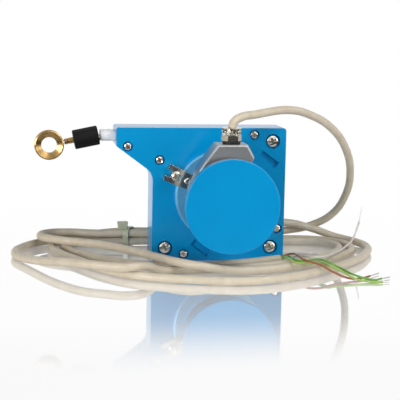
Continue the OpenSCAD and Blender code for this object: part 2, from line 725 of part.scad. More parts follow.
// Gland: threaded body with its hexagon, seal below and hexagonal nut above
module hexagon(h) intersection()
{
    cylinder(r = hex_r, h = h, $fn = 6);
    rotate_extrude() polygon([[0, 0], [hex_r - 0.5, 0], [hex_r + 0.1, 0.4],
        [hex_r + 0.1, h - 0.6], [hex_r - 0.9, h], [0, h]]);
}

module gland_body() color("silver") translate([lug_x, gland_y, gland_z]) difference()
{
    union()
    {
        translate([0, 0, -7]) cylinder(r = gland_r, h = 7 + oring_t);
        translate([0, 0, oring_t]) hexagon(hex_h);
        translate([0, 0, oring_t + hex_h - e]) cylinder(r = gland_r - 0.6, h = 3);
    }
    translate([0, 0, -8]) cylinder(d = cable_d + 0.3, h = 20);
}

module gland_seal() color([0.08, 0.08, 0.08]) translate([lug_x, gland_y, gland_z])
    rotate_extrude() polygon([[gland_r + fit_gap, 0], [gland_r + 0.8, 0],
        [gland_r + 1, 0.4], [gland_r + 1, oring_t - 0.4], [gland_r + 0.8, oring_t],
        [gland_r + fit_gap, oring_t]]);

module gland_nut() color("silver")
    translate([lug_x, gland_y, gland_z + oring_t + hex_h]) difference()
    {
        hexagon(nut_h);
        translate([0, 0, -1]) cylinder(r = gland_r - 0.6 + fit_gap, h = 4 + run_gap);
        cylinder(d = cable_d + 0.2, h = nut_h + 1);
    }

// Measuring wire from the drum out through the neck, nozzle and stopper
leave_x = -sqrt(pow(wire_r + wire_d / 2, 2) - pow(drum_r, 2)) - 0.5;

module draw_wire() color("lightsteelblue")
    tube([[leave_x, 0, wire_z], [-side_x, 0, wire_z], [neck_x, 0, wire_z],
        [hang_x + 0.7, 0, wire_z], hung(0.7, 0), hung(stopper_len * 0.5, 0),
        hung(sleeve_x + 3, 0)], wire_d, 8);

module rubber_stopper() color([0.12, 0.12, 0.12]) wire_end_frame()
    rotate([0, 90, 0]) difference()
    {
        rotate_extrude() polygon(concat([[0, 0]],
            arc([stopper_d / 2 - 0.7, 0.7], 0.7, -90, 0, 4),
            arc([stopper_d / 2 - 0.7, stopper_len - 0.7], 0.7, 0, 90, 4),
            [[0, stopper_len]]));
        translate([0, 0, -1]) cylinder(d = wire_d + 0.6, h = stopper_len + 2);
    }

module crimp_sleeve() color("goldenrod") wire_end_frame()
    translate([sleeve_x, 0, 0]) rotate([0, 90, 0]) difference()
    {
        rotate_extrude() polygon([[0, 0], [sleeve_d / 2, 0], [sleeve_d / 2, sleeve_len * 0.55],
            [sleeve_d / 2 - 0.35, sleeve_len * 0.62], [sleeve_d / 2, sleeve_len * 0.7],
            [sleeve_d / 2, sleeve_len - 0.5], [sleeve_d / 2 - 0.4, sleeve_len],
            [0, sleeve_len]]);
        translate([0, 0, -1]) cylinder(d = wire_d + 0.1, h = 4.5);
    }

// Wire laid round the ring's groove, both ends in the sleeve
loop_d = 0.7;
meet_deg = acos(loop_r / (ring_x - sleeve_end + 0.6));
module wire_loop() color("lightsteelblue")
    tube(concat([hung(sleeve_end + 0.3, 0.45)],
        [for (i = [0 : 28]) let (a = 180 - meet_deg - (360 - 2 * meet_deg) * i / 28)
            hung(ring_x + loop_r * cos(a), loop_r * sin(a))],
        [hung(sleeve_end + 0.3, -0.45)]), loop_d, 6);

module eyelet_ring() color("goldenrod") wire_end_frame()
    translate([ring_x, 0, 0]) rotate([90, 0, 0]) rotate_extrude()
        polygon([[ring_bore / 2, -1], [ring_d / 2 - 0.8, -ring_w / 2],
            [ring_d / 2, -ring_w / 2 + 0.4], [ring_d / 2, -ring_w / 2 + 0.9],
            [loop_r - loop_d / 2 - 0.05, -0.5], [loop_r - loop_d / 2 - 0.05, 0.5],
            [ring_d / 2, ring_w / 2 - 0.9], [ring_d / 2, ring_w / 2 - 0.4],
            [ring_d / 2 - 0.8, ring_w / 2], [ring_bore / 2, 1]]);

module signal_cable() color([0.78, 0.73, 0.65]) tube(CABLE, cable_d, 10);

// Band round the strands, with its locking head on top
function band(t, r) = rounded([[tie_near + t, t, r], [tie_far - t, t, r],
    [tie_far - t, tie_top - t, r], [tie_near + t, tie_top - t, r]]);
module cable_tie() color([0.65, 0.66, 0.56]) translate([tie_x - tie_w / 2, 0, 0])
{
    rotate([90, 0, 90]) linear_extrude(tie_w) difference()
    {
        polygon(band(0, 3));
        polygon(band(tie_t, 2));
    }
    translate([(tie_w - tie_head[0]) / 2, tie_near + 1.2, tie_top - e]) cube(tie_head);
}

function core_path(P, side, up) =
    concat([jacket_end + jacket_way * 0.7 + jacket_side * side * core_offset
        + [0, 0, up * core_offset]], P);
// The last stretch of each core is bare and tinned
function bare(P) = let (a = P[len(P) - 2], b = P[len(P) - 1])
    [a + 0.2 * unit(b - a), b];
function covered(P) = [for (i = [0 : len(P) - 2]) P[i]];

module core_brown() color("saddlebrown") tube(core_path(covered(BROWN), 1, 1), core_wire_d, 6);
module core_green() color("green") tube(core_path(covered(GREEN), -1, 1), core_wire_d, 6);
module core_yellow() color("gold") tube(core_path(covered(YELLOW), -1, -1), core_wire_d, 6);
module core_white() color("whitesmoke") tube(core_path(covered(WHITE), 1, -1), core_wire_d, 6);
module core_tips() color("silver")
    for (P = [BROWN, GREEN, YELLOW, WHITE]) tube(bare(P), core_wire_d * 0.6, 6);

housing_tub();
front_cover();
cover_gasket();
cover_screws();
corner_screws();
rear_inserts();
servo_clamp();
clamp_screw();
clamp_pin();
wire_nozzle();
wire_drum();
wound_wire();
drum_set_screw();
drum_shaft();
shaft_spacer();
shaft_clip();
spiral_spring();
bearing_outer_rings();
bearing_inner_rings();
bearing_balls();
encoder_flange();
encoder_body();
encoder_cap();
cap_seal();
body_screws();
disc_hub();
code_disc();
read_head();
circuit_board();
board_pillars();
board_screws();
gland_body();
gland_seal();
gland_nut();
draw_wire();
rubber_stopper();
crimp_sleeve();
wire_loop();
eyelet_ring();
signal_cable();
cable_tie();
core_brown();
core_green();
core_yellow();
core_white();
core_tips();
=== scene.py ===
import math

import bpy
from mathutils import Matrix, Vector


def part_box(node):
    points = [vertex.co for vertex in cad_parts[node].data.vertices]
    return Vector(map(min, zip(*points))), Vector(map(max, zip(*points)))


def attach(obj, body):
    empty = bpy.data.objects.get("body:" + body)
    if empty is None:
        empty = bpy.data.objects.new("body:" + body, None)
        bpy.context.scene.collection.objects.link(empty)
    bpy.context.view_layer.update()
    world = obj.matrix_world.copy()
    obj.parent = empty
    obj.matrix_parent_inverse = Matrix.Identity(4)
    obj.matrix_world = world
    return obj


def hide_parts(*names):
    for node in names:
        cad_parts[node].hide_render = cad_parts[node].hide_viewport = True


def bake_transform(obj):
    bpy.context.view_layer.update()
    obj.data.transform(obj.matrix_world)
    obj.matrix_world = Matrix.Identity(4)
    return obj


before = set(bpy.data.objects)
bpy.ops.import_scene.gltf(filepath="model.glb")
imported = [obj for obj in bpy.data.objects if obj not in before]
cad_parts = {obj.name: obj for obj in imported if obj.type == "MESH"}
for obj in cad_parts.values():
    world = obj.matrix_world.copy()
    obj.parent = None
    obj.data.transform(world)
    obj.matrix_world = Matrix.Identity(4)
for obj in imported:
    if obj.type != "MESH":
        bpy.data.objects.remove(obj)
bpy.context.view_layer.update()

MM = 0.001


# ---- Camera --------------------------------------------------------------------------
# It stands a little to the left and above, on a long lens, 0.8 m from the housing's
# middle, and is turned by a small roll.
CAMERA_AZIMUTH = math.radians(9.0)
CAMERA_PITCH = math.radians(8.7)
CAMERA_ROLL = math.radians(1.13)
CAMERA_DISTANCE = 0.8
CAMERA_TARGET = Vector((-12.15, -12, 39.2)) * MM
LENS_MM = 113.8
SENSOR_MM = 36
FARTHEST_VIEW = 50

bpy.ops.object.select_all(action="DESELECT")
bpy.ops.object.camera_add()
camera = bpy.context.object
turn = (Matrix.Rotation(-CAMERA_AZIMUTH, 4, "Z")
        @ Matrix.Rotation(math.pi / 2 - CAMERA_PITCH, 4, "X")
        @ Matrix.Rotation(CAMERA_ROLL, 4, "Z"))
looking = turn @ Vector((0, 0, -1))
camera.matrix_world = Matrix.Translation(CAMERA_TARGET - looking * CAMERA_DISTANCE) @ turn
camera.data.lens = LENS_MM
camera.data.sensor_width = SENSOR_MM
camera.data.clip_end = FARTHEST_VIEW
bpy.context.scene.camera = camera
bpy.context.scene.view_settings.view_transform = "Standard"


# ---- Floor and backdrop --------------------------------------------------------------
# White glazed board, as product tables have: it shows a faint mirror image of what
# lies on it. The glaze fades out in front of the object, where matt paper begins.
FLOOR_SIZE = 12.0
FLOOR_CUTS = 3
FLOOR_HEIGHT = -0.1 * MM
GLAZE_FULL_Y = -0.15
GLAZE_ENDS_Y = -0.26
GLAZE_GAIN = 2.2
GLOW_SHARE = 0.9
GLOW_IN_MIRRORS = 0.45
ROOM_LIGHT = 0.06
WHITE = (1, 1, 1, 1)


def linear(hex_colour):
    """sRGB hex to the linear colour that the shader takes."""
    parts = [int(hex_colour[i:i + 2], 16) / 255 for i in (1, 3, 5)]
    return tuple(c / 12.92 if c <= 0.04045 else ((c + 0.055) / 1.055) ** 2.4
                 for c in parts) + (1.0,)


def add(tree, kind, links=None, **settings):
    """Adds one shader node, sets its sockets and properties, and links its inputs."""
    node = tree.nodes.new(kind)
    for name, value in settings.items():
        socket = node.inputs.get(name.replace("_", " "))
        if socket is None:
            setattr(node, name, value)
        else:
            socket.default_value = value
    for name, source in (links or {}).items():
        tree.links.new(source, node.inputs[name])
    return node


def new_material(name):
    """A new material and its node tree, which is empty."""
    material = bpy.data.materials.new(name)
    material.use_nodes = True
    material.node_tree.nodes.clear()
    return material, material.node_tree


bpy.ops.mesh.primitive_plane_add(size=FLOOR_SIZE, location=(0, 0, FLOOR_HEIGHT))
floor = bpy.context.object
floor.name = "table_top"
bpy.ops.object.mode_set(mode="EDIT")
bpy.ops.mesh.subdivide(number_cuts=FLOOR_CUTS)
bpy.ops.object.mode_set(mode="OBJECT")
bpy.ops.object.transform_apply(location=True, rotation=True, scale=True)

# The board glows towards the camera, so that it stays white, and less in mirrors. The
# rest of its light is scattered, which keeps the shadow.
white_board, tree = new_material("glazed_white_board")
path = add(tree, "ShaderNodeLightPath")
mirrored = add(tree, "ShaderNodeMath", {0: path.outputs["Is Glossy Ray"]},
               operation="MULTIPLY")
mirrored.inputs[1].default_value = GLOW_IN_MIRRORS
seen = add(tree, "ShaderNodeMath", {0: path.outputs["Is Camera Ray"],
                                    1: mirrored.outputs[0]}, operation="MAXIMUM")
share = add(tree, "ShaderNodeMath", {0: seen.outputs[0]}, operation="MULTIPLY")
share.inputs[1].default_value = GLOW_SHARE
board = add(tree, "ShaderNodeBsdfDiffuse", Color=linear("#f4f4f4"))
glow = add(tree, "ShaderNodeEmission", Color=WHITE, Strength=1.0)
matt = add(tree, "ShaderNodeMixShader", {0: share.outputs[0], 1: board.outputs[0],
                                         2: glow.outputs[0]})
fresnel = add(tree, "ShaderNodeFresnel", IOR=1.5)
shine = add(tree, "ShaderNodeMath", {0: fresnel.outputs[0]}, operation="MULTIPLY",
            use_clamp=True)
shine.inputs[1].default_value = GLAZE_GAIN
place = add(tree, "ShaderNodeTexCoord")
axes = add(tree, "ShaderNodeSeparateXYZ", {0: place.outputs["Object"]})
glazed = add(tree, "ShaderNodeMapRange", {"Value": axes.outputs["Y"]},
             interpolation_type="SMOOTHSTEP",
             From_Min=GLAZE_ENDS_Y, From_Max=GLAZE_FULL_Y)
shine_there = add(tree, "ShaderNodeMath", {0: shine.outputs[0], 1: glazed.outputs[0]},
                  operation="MULTIPLY")
glaze = add(tree, "ShaderNodeBsdfGlossy", Color=WHITE, Roughness=0.04)
mixed = add(tree, "ShaderNodeMixShader", {0: shine_there.outputs[0], 1: matt.outputs[0],
                                          2: glaze.outputs[0]})
add(tree, "ShaderNodeOutputMaterial", {"Surface": mixed.outputs[0]})
floor.data.materials.append(white_board)

# The room gives little light of its own. Its walls are white where they are seen, in
# mirrors and through glass.
world = bpy.data.worlds.new("white_room")
bpy.context.scene.world = world
world.use_nodes = True
tree = world.node_tree
tree.nodes.clear()
path = add(tree, "ShaderNodeLightPath")
direct = add(tree, "ShaderNodeMath", {0: path.outputs["Is Camera Ray"],
                                      1: path.outputs["Is Glossy Ray"]},
             operation="MAXIMUM")
seen = add(tree, "ShaderNodeMath", {0: direct.outputs[0],
                                    1: path.outputs["Is Transmission Ray"]},
           operation="MAXIMUM")
room = add(tree, "ShaderNodeBackground", Color=WHITE, Strength=ROOM_LIGHT)
wall = add(tree, "ShaderNodeBackground", Color=WHITE, Strength=1.0)
mixed = add(tree, "ShaderNodeMixShader", {0: seen.outputs[0], 1: room.outputs[0],
                                          2: wall.outputs[0]})
add(tree, "ShaderNodeOutputWorld", {"Surface": mixed.outputs[0]})


# ---- Lamps ---------------------------------------------------------------------------
# Large soft boxes at the front left and the front right, and two small ones close
# above. One more stands behind and is kept out of mirrors.
HOUSING_MIDDLE = Vector((0, -0.03, 0.04))


def soft_box(name, place, width, height, watts):
    """An area lamp that looks at the housing's middle and isn't seen itself."""
    bpy.ops.object.light_add(type="AREA", location=place)
    lamp = bpy.context.object
    lamp.name = name
    lamp.data.shape = "RECTANGLE"
    lamp.data.size = width
    lamp.data.size_y = height
    lamp.data.energy = watts
    aim = HOUSING_MIDDLE - Vector(place)
    lamp.rotation_euler = aim.to_track_quat("-Z", "Y").to_euler()
    lamp.visible_camera = False
    return lamp


soft_box("front_left_box", (-0.9, -0.9, 0.2), width=0.6, height=0.4, watts=8.6)
soft_box("front_right_box", (0.9, -0.9, 0.2), width=0.6, height=0.4, watts=2.0)
soft_box("top_right_box", (0.3, -0.25, 0.45), width=0.25, height=0.2, watts=0.95)
soft_box("top_box", (0.06, -0.22, 0.27), width=0.22, height=0.12, watts=0.2)
back_box = soft_box("back_box", (-0.5, 1.2, 0.25), width=0.8, height=0.5, watts=4.0)
back_box.visible_glossy = False


# ---- Black card ----------------------------------------------------------------------
# Black velvet on the table in front of the object, facing up. Only polished surfaces
# see it, and take their dark streaks from it.
CARD_PLACE = (0, -0.62, 0.001)
CARD_SIZE = (2, 1, 1)

velvet, tree = new_material("black_velvet")
sides = add(tree, "ShaderNodeNewGeometry")
pile = add(tree, "ShaderNodeEmission", Color=linear("#2a2826"), Strength=1.0)
nothing = add(tree, "ShaderNodeBsdfTransparent")
mixed = add(tree, "ShaderNodeMixShader", {0: sides.outputs["Backfacing"],
                                          1: pile.outputs[0], 2: nothing.outputs[0]})
add(tree, "ShaderNodeOutputMaterial", {"Surface": mixed.outputs[0]})
bpy.ops.mesh.primitive_plane_add(size=1, location=CARD_PLACE)
card = bpy.context.object
card.name = "table_card"
card.scale = CARD_SIZE
bpy.ops.object.transform_apply(location=True, rotation=True, scale=True)
card.data.materials.append(velvet)
card.visible_camera = card.visible_diffuse = card.visible_shadow = False
card.visible_transmission = card.visible_volume_scatter = False


# ---- Signal cable --------------------------------------------------------------------
# Round PVC cable, 5.2 mm, extruded and matt. It leaves the gland upwards, arches over
# the housing and lies in four loose turns, tied behind the housing. The route is in
# millimetres.
CABLE_D = 5.2 * MM
CABLE_ROUTE = [
    (1.5, -43, 88), (2.8, -43, 91.6), (7.6, -41, 94.4), (16.4, -36, 95.5), (43, -18, 97),
    (59, -6, 93), (76, 6, 84), (90, 19, 69), (97, 30, 52), (97, 40, 34), (90, 47, 20),
    (77, 52, 11.5), (60, 50, 8.4), (42, 43.5, 8.4), (22, 40, 8.4), (-16, 40, 8.4),
    (-52, 40, 9), (-74, 43, 8.4), (-92, 48, 8.4), (-105, 46, 8.4), (-111, 36, 8.4),
    (-105, 25, 8.4), (-74, 2, 8.4), (-57, -18, 8.4), (-43, -39, 8.4), (-31, -57, 8.4),
    (-17, -64, 7), (0, -59, 3.6), (43, -46, 2.7), (64, -32, 2.7), (82, -14, 2.7),
    (93, 5, 2.7), (94, 22, 2.7), (86, 37, 2.7), (71, 45, 2.7), (50, 46.5, 2.7),
    (0, 46, 2.7), (-52, 46, 3.4), (-91, 46, 2.7), (-101, 38, 2.7), (-104, 25, 2.7),
    (-100, 5, 2.7), (-92, -14, 2.7), (-64, -61, 2.7), (-45, -73, 2.7), (-18, -82, 2.7),
    (8, -85, 2.7), (35, -75, 2.7), (60, -56, 2.7), (82, -34, 2.7), (98, -9, 2.7),
    (106, 15, 2.7), (103, 32, 3), (91, 42, 5), (76, 45.5, 10), (60, 46, 14),
    (40, 46, 14), (2, 46, 8.4), (-52, 46.2, 9), (-70, 51, 7), (-88, 54, 3.4),
    (-106, 47, 2.7), (-121, 29, 2.7), (-128, 7, 2.7), (-122, -13, 3), (-92, -54, 8.2),
    (-76, -65, 8.4), (-64, -69.5, 8.4), (-53, -65, 8.2), (-42, -57, 3.6),
    (-30, -52, 2.7), (18, -45, 2.7), (42, -37, 2.7), (63, -23, 2.7), (78, -6, 2.7),
    (86, 12, 2.7), (85, 26, 2.7), (75, 36, 2.7), (56, 39.5, 2.7), (0, 40, 2.7),
    (-52, 40, 3.4), (-73, 40.5, 2.7), (-88, 38, 2.7), (-95.5, 29, 2.7), (-93, 13, 2.7),
    (-83, -5, 2.7), (-68, -23, 2.7), (-50, -35, 2.7), (-22, -40, 2.7), (10, -34, 2.7),
    (38, -22, 2.7)]


def lay_wire(name, points, diameter, roundness, steps=10):
    """A round wire on one smooth curve through points in millimetres.

    The bevel is 1 m deep, and each knot's radius scales it down to the wire's. So the
    curve's own box is no wider than the wire.
    """
    line = bpy.data.curves.new(name, "CURVE")
    line.dimensions = "3D"
    line.resolution_u = steps
    line.bevel_depth = 1.0
    line.bevel_resolution = roundness
    line.use_fill_caps = True
    spline = line.splines.new("BEZIER")
    spline.bezier_points.add(len(points) - 1)
    for knot, point in zip(spline.bezier_points, points):
        knot.co = Vector(point) * MM
        knot.handle_left_type = knot.handle_right_type = "AUTO"
        knot.radius = diameter / 2
    wire = bpy.data.objects.new(name, line)
    bpy.context.collection.objects.link(wire)
    return wire


def curve_length(wire):
    """Length of a curve's own line."""
    depth = wire.data.bevel_depth
    wire.data.bevel_depth = 0
    shape = wire.evaluated_get(bpy.context.evaluated_depsgraph_get()).to_mesh()
    knots = [vertex.co for vertex in shape.vertices]
    total = sum((knots[edge.vertices[0]] - knots[edge.vertices[1]]).length
                for edge in shape.edges)
    wire.data.bevel_depth = depth
    return total


def speckled(tree, grain_mm, low, high, detail=4.0):
    """A noise between two hex colours, with grains of a size in millimetres."""
    place = add(tree, "ShaderNodeTexCoord")
    noise = add(tree, "ShaderNodeTexNoise", {"Vector": place.outputs["Object"]},
                Scale=1 / (grain_mm * MM), Detail=detail)
    ramp = add(tree, "ShaderNodeValToRGB", {"Fac": noise.outputs["Fac"]})
    ramp.color_ramp.elements[0].position = 0.3
    ramp.color_ramp.elements[0].color = linear(low)
    ramp.color_ramp.elements[1].position = 0.7
    ramp.color_ramp.elements[1].color = linear(high)
    return noise, ramp


def plastic(name, low, high, grain_mm, roughness, bump_mm, shine=0.5):
    """Moulded or extruded polymer: two near colours and a fine uneven skin."""
    material, tree = new_material(name)
    noise, ramp = speckled(tree, grain_mm, low, high)
    skin = add(tree, "ShaderNodeBump", {"Height": noise.outputs["Fac"]},
               Strength=0.35, Distance=bump_mm * MM)
    body = add(tree, "ShaderNodeBsdfPrincipled", {"Base Color": ramp.outputs[0],
               "Normal": skin.outputs[0]}, Roughness=roughness, IOR=1.5,
               Specular_IOR_Level=shine)
    add(tree, "ShaderNodeOutputMaterial", {"Surface": body.outputs[0]})
    return material


# PVC jackets carry faint streaks from the die and a bloom that dulls their shine.
pvc_jacket = plastic("extruded_grey_pvc", "#cfc2ab", "#dbcfba", 6.0, 0.38, 0.03, 0.35)
signal_cable = lay_wire("signal_cable_jacket", CABLE_ROUTE, CABLE_D, roundness=8)
signal_cable.data.materials.append(pvc_jacket)
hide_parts("signal_cable")
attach(signal_cable, "housing")


# ---- Cable tie -----------------------------------------------------------------------
# A natural nylon band pulled tight round the four strands. It stands a little askew,
# and its ratchet head, with the tail cut off flush, sits at its upper left corner.
TIE_MIDDLE = Vector((-51.6, 43.15, 6.35)) * MM
TIE_ACROSS, TIE_UP, TIE_CORNER = 13.2 * MM, 11.2 * MM, 3.8 * MM
TIE_WIDTH, TIE_THICK, TIE_EDGE = 3.8 * MM, 0.6 * MM, 0.18 * MM
TIE_TURN = math.radians(24)
HEAD_PLACE = Vector((-56.2, 39.6, 14.2)) * MM
HEAD_SIZE = Vector((7.2, 4.6, 5.2)) * MM
HEAD_TAPER = (0.8, 0.85, 1)
HEAD_RIM, HEAD_SLOT, HEAD_EDGE = 1.1 * MM, 1.2 * MM, 0.35 * MM
nylon = plastic("natural_nylon", "#b5b898", "#c6c8aa", 2.0, 0.35, 0.02, 0.4)


def start_piece(name):
    """Names the new primitive and opens it in edit mode, selected all over."""
    piece = bpy.context.object
    piece.name = piece.data.name = name
    bpy.ops.object.transform_apply(location=True, rotation=True, scale=True)
    bpy.ops.object.mode_set(mode="EDIT")
    bpy.ops.mesh.select_all(action="SELECT")
    return piece


def close_piece(corner_degrees):
    """Leaves edit mode with the faces turned outwards and smooth but for the corners."""
    bpy.ops.mesh.select_all(action="SELECT")
    bpy.ops.mesh.remove_doubles(threshold=0.001 * MM)
    bpy.ops.mesh.normals_make_consistent(inside=False)
    bpy.ops.object.mode_set(mode="OBJECT")
    bpy.ops.object.shade_smooth_by_angle(angle=math.radians(corner_degrees))


def pick_faces(piece, test):
    """Selects the faces whose middle and normal pass the test."""
    bpy.ops.mesh.select_all(action="DESELECT")
    bpy.ops.mesh.select_mode(type="FACE")
    bpy.ops.object.mode_set(mode="OBJECT")
    for face in piece.data.polygons:
        face.select = test(face.center, face.normal)
    bpy.ops.object.mode_set(mode="EDIT")


def apply_modifier(piece, kind, **settings):
    """Gives the active piece a modifier and applies it."""
    modifier = piece.modifiers.new(kind.lower(), kind)
    for name, value in settings.items():
        setattr(modifier, name, value)
    bpy.ops.object.modifier_apply(modifier=modifier.name)


# The band is a rounded outline, drawn out to its width and then given its thickness.
bpy.ops.object.select_all(action="DESELECT")
tie_side = TIE_MIDDLE - Vector((TIE_WIDTH / 2, 0, 0))
bpy.ops.mesh.primitive_plane_add(size=1, location=tie_side, rotation=(0, math.pi / 2, 0))
bpy.context.object.scale = (TIE_UP, TIE_ACROSS, 1)
tie = start_piece("cable_tie_band")
bpy.ops.mesh.bevel(offset=TIE_CORNER, segments=8, affect="VERTICES")
bpy.ops.mesh.delete(type="ONLY_FACE")
bpy.ops.mesh.select_all(action="SELECT")
bpy.ops.mesh.extrude_region_move(TRANSFORM_OT_translate={"value": (TIE_WIDTH, 0, 0)})
bpy.ops.mesh.select_all(action="SELECT")
bpy.ops.mesh.normals_make_consistent(inside=False)
bpy.ops.transform.rotate(value=TIE_TURN, orient_axis="Z", center_override=TIE_MIDDLE)
bpy.ops.object.mode_set(mode="OBJECT")
apply_modifier(tie, "SOLIDIFY", thickness=TIE_THICK, offset=1)
apply_modifier(tie, "BEVEL", width=TIE_EDGE, segments=2)
bpy.ops.object.shade_smooth_by_angle(angle=math.radians(40))

# The head is a tapered block with a slot's mouth on either side.
bpy.ops.mesh.primitive_cube_add(size=1, location=HEAD_PLACE)
bpy.context.object.scale = HEAD_SIZE
head = start_piece("cable_tie_head")
pick_faces(head, lambda middle, normal: normal.z < -0.9)
bpy.ops.transform.resize(value=HEAD_TAPER, center_override=HEAD_PLACE)
for side in (-1, 1):
    pick_faces(head, lambda middle, normal: normal.x * side > 0.9)
    bpy.ops.mesh.inset(thickness=HEAD_RIM, use_even_offset=True)
    bpy.ops.mesh.extrude_region_move(
        TRANSFORM_OT_translate={"value": (-side * HEAD_SLOT, 0, 0)})
close_piece(corner_degrees=40)
apply_modifier(head, "BEVEL", width=HEAD_EDGE, segments=3)
for piece in (tie, head):
    piece.data.materials.append(nylon)
    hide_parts("cable_tie")
    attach(piece, "housing")
curve_length(signal_cable)


# ---- Cores ---------------------------------------------------------------------------
# Four PVC insulated cores, 1.3 mm, spread out of the jacket's end. Each ends in a few
# millimetres of twisted and tinned copper. CORES gives each core's place in the jacket,
# its two colours and its route in millimetres, which ends with its bare tip.
CORE_D = 1.3 * MM
JACKET_END = Vector(CABLE_ROUTE[-1])
JACKET_WAY = (JACKET_END - Vector(CABLE_ROUTE[-2])).normalized()
JACKET_SIDE = Vector((-JACKET_WAY.y, JACKET_WAY.x, 0))
CORE_OFFSET = 0.9
CORE_STARTS = 0.7
TIP_D = 0.6 * CORE_D
CORES = {
    "brown": ((1, 1), "#8a4a28", "#9c5a36", [
        (41.5, -18.5, 4), (45.5, -21, 5.6), (47, -33, 7.2), (46.5, -46, 8),
        (47.5, -56, 8.2), (54, -63, 7.2), (61.5, -69.5, 3.6), (69.5, -75, 1.1),
        (78, -73, 0.8), (84, -68, 0.8), (92, -60, 0.8)]),
    "green": ((-1, 1), "#5fa02a", "#74b43a", [
        (42, -25, 5), (42.5, -34, 6.4), (43.5, -44, 6.4), (48, -47.5, 6.4),
        (56, -49, 7.6), (61, -60, 7.6), (66.5, -63.5, 5.2), (72.5, -73.5, 3),
        (83, -79.5, 1), (89, -75.5, 0.8), (95.5, -71.5, 0.8)]),
    "yellow": ((-1, -1), "#8fb24a", "#a6c060", [
        (40.5, -26, 3.6), (39.5, -33, 6.2), (39.5, -44, 6.6), (42.5, -53, 6.6),
        (50, -55.5, 6.4), (56, -54, 6.4), (60, -63.5, 6.2), (66.5, -71, 4.2),
        (72, -80, 1.8), (82, -84.5, 0.8), (87, -85, 0.8), (91, -85, 0.8)]),
    "white": ((1, -1), "#d6d3c9", "#e2dfd6", [
        (42, -21.5, 2.8), (46.5, -26, 4.4), (50.5, -32, 6.3), (58, -41, 7.4),
        (73, -27, 7.2), (83.5, -12, 8), (90.5, -4, 11), (95, 1, 18), (96.5, 2, 22),
        (100, 8, 31)]),
}

tinned_copper, tree = new_material("twisted_tinned_copper")
noise, ramp = speckled(tree, 0.6, "#a8a5a0", "#d4d1cb")
skin = add(tree, "ShaderNodeBump", {"Height": noise.outputs["Fac"]}, Strength=0.5,
           Distance=0.1 * MM)
metal = add(tree, "ShaderNodeBsdfPrincipled", {"Base Color": ramp.outputs[0],
            "Normal": skin.outputs[0]}, Metallic=1.0, Roughness=0.3)
add(tree, "ShaderNodeOutputMaterial", {"Surface": metal.outputs[0]})

for colour, ((side, up), low, high, route) in CORES.items():
    start = (JACKET_END + JACKET_WAY * CORE_STARTS + JACKET_SIDE * side * CORE_OFFSET
             + Vector((0, 0, up * CORE_OFFSET)))
    core = lay_wire("core_" + colour + "_insulation", [start] + route[:-1], CORE_D,
                    roundness=4)
    core.data.materials.append(plastic("core_pvc_" + colour, low, high, 3.0, 0.38, 0.02))
    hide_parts("core_" + colour)
    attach(core, "housing")
    base, end = Vector(route[-2]), Vector(route[-1])
    tip = lay_wire("core_" + colour + "_tip", [base, base.lerp(end, 0.5), end], TIP_D,
                   roundness=4)
    tip.data.materials.append(tinned_copper)
    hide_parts("core_tips")
    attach(tip, "housing")
    curve_length(core)


# ---- Housing: cover and tub ----------------------------------------------------------
# Die-cast aluminium halves with a bright blue powder coat. The coat is smooth and
# satin, a little uneven, and rounds the edges, which catch the light.
def finish_node(node_name, material):
    """Gives a carried-over solid its material."""
    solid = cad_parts[node_name]
    solid.data.materials.clear()
    solid.data.materials.append(material)


def powder_coat(name, low, high):
    """Baked powder paint: a faint orange peel under a clear shine."""
    material, tree = new_material(name)
    ramp = speckled(tree, 30, low, high, detail=2.0)[1]
    place = add(tree, "ShaderNodeTexCoord")
    peel = add(tree, "ShaderNodeTexNoise", {"Vector": place.outputs["Object"]},
               Scale=1 / (1.2 * MM), Detail=2.0)
    edge = add(tree, "ShaderNodeBevel", samples=6, Radius=0.2 * MM)
    skin = add(tree, "ShaderNodeBump", {"Height": peel.outputs["Fac"],
               "Normal": edge.outputs[0]}, Strength=0.12, Distance=0.03 * MM)
    coat = add(tree, "ShaderNodeBsdfPrincipled", {"Base Color": ramp.outputs[0],
               "Normal": skin.outputs[0]}, Roughness=0.34, IOR=1.5,
               Specular_Tint=linear("#2fa4e4"), Coat_Weight=0.65, Coat_Roughness=0.17)
    add(tree, "ShaderNodeOutputMaterial", {"Surface": coat.outputs[0]})
    return material


blue_coat = powder_coat("blue_powder_coat", "#0091cd", "#0096d3")
finish_node("housing_tub", blue_coat)
finish_node("front_cover", blue_coat)

seal_rubber = plastic("nitrile_seal", "#101010", "#181818", 1.0, 0.5, 0.02, 0.3)
finish_node("cover_gasket", seal_rubber)


# ---- Screws --------------------------------------------------------------------------
# Nickel-plated steel pan-head screws with a cross recess, turned in by hand, so each
# stands at its own angle. The servo clamp is pressed from plated sheet steel.
def plated(name, low, high, roughness, scratch_mm=0.8, bump=0.1, edge_mm=0.15,
           metallic=1.0):
    """Plated, polished or blasted metal with fine marks and softly broken edges."""
    material, tree = new_material(name)
    noise, ramp = speckled(tree, scratch_mm, low, high)
    edge = add(tree, "ShaderNodeBevel", samples=4, Radius=edge_mm * MM)
    skin = add(tree, "ShaderNodeBump", {"Height": noise.outputs["Fac"],
               "Normal": edge.outputs[0]}, Strength=bump, Distance=0.02 * MM)
    metal = add(tree, "ShaderNodeBsdfPrincipled", {"Base Color": ramp.outputs[0],
                "Normal": skin.outputs[0]}, Metallic=metallic, Roughness=roughness)
    add(tree, "ShaderNodeOutputMaterial", {"Surface": metal.outputs[0]})
    return material


nickel = plated("bright_nickel_plate", "#c2bdb3", "#d8d3ca", 0.16)
for node_name in ("cover_screws", "corner_screws", "clamp_screw", "clamp_pin",
                  "body_screws", "board_screws", "servo_clamp"):
    finish_node(node_name, nickel)


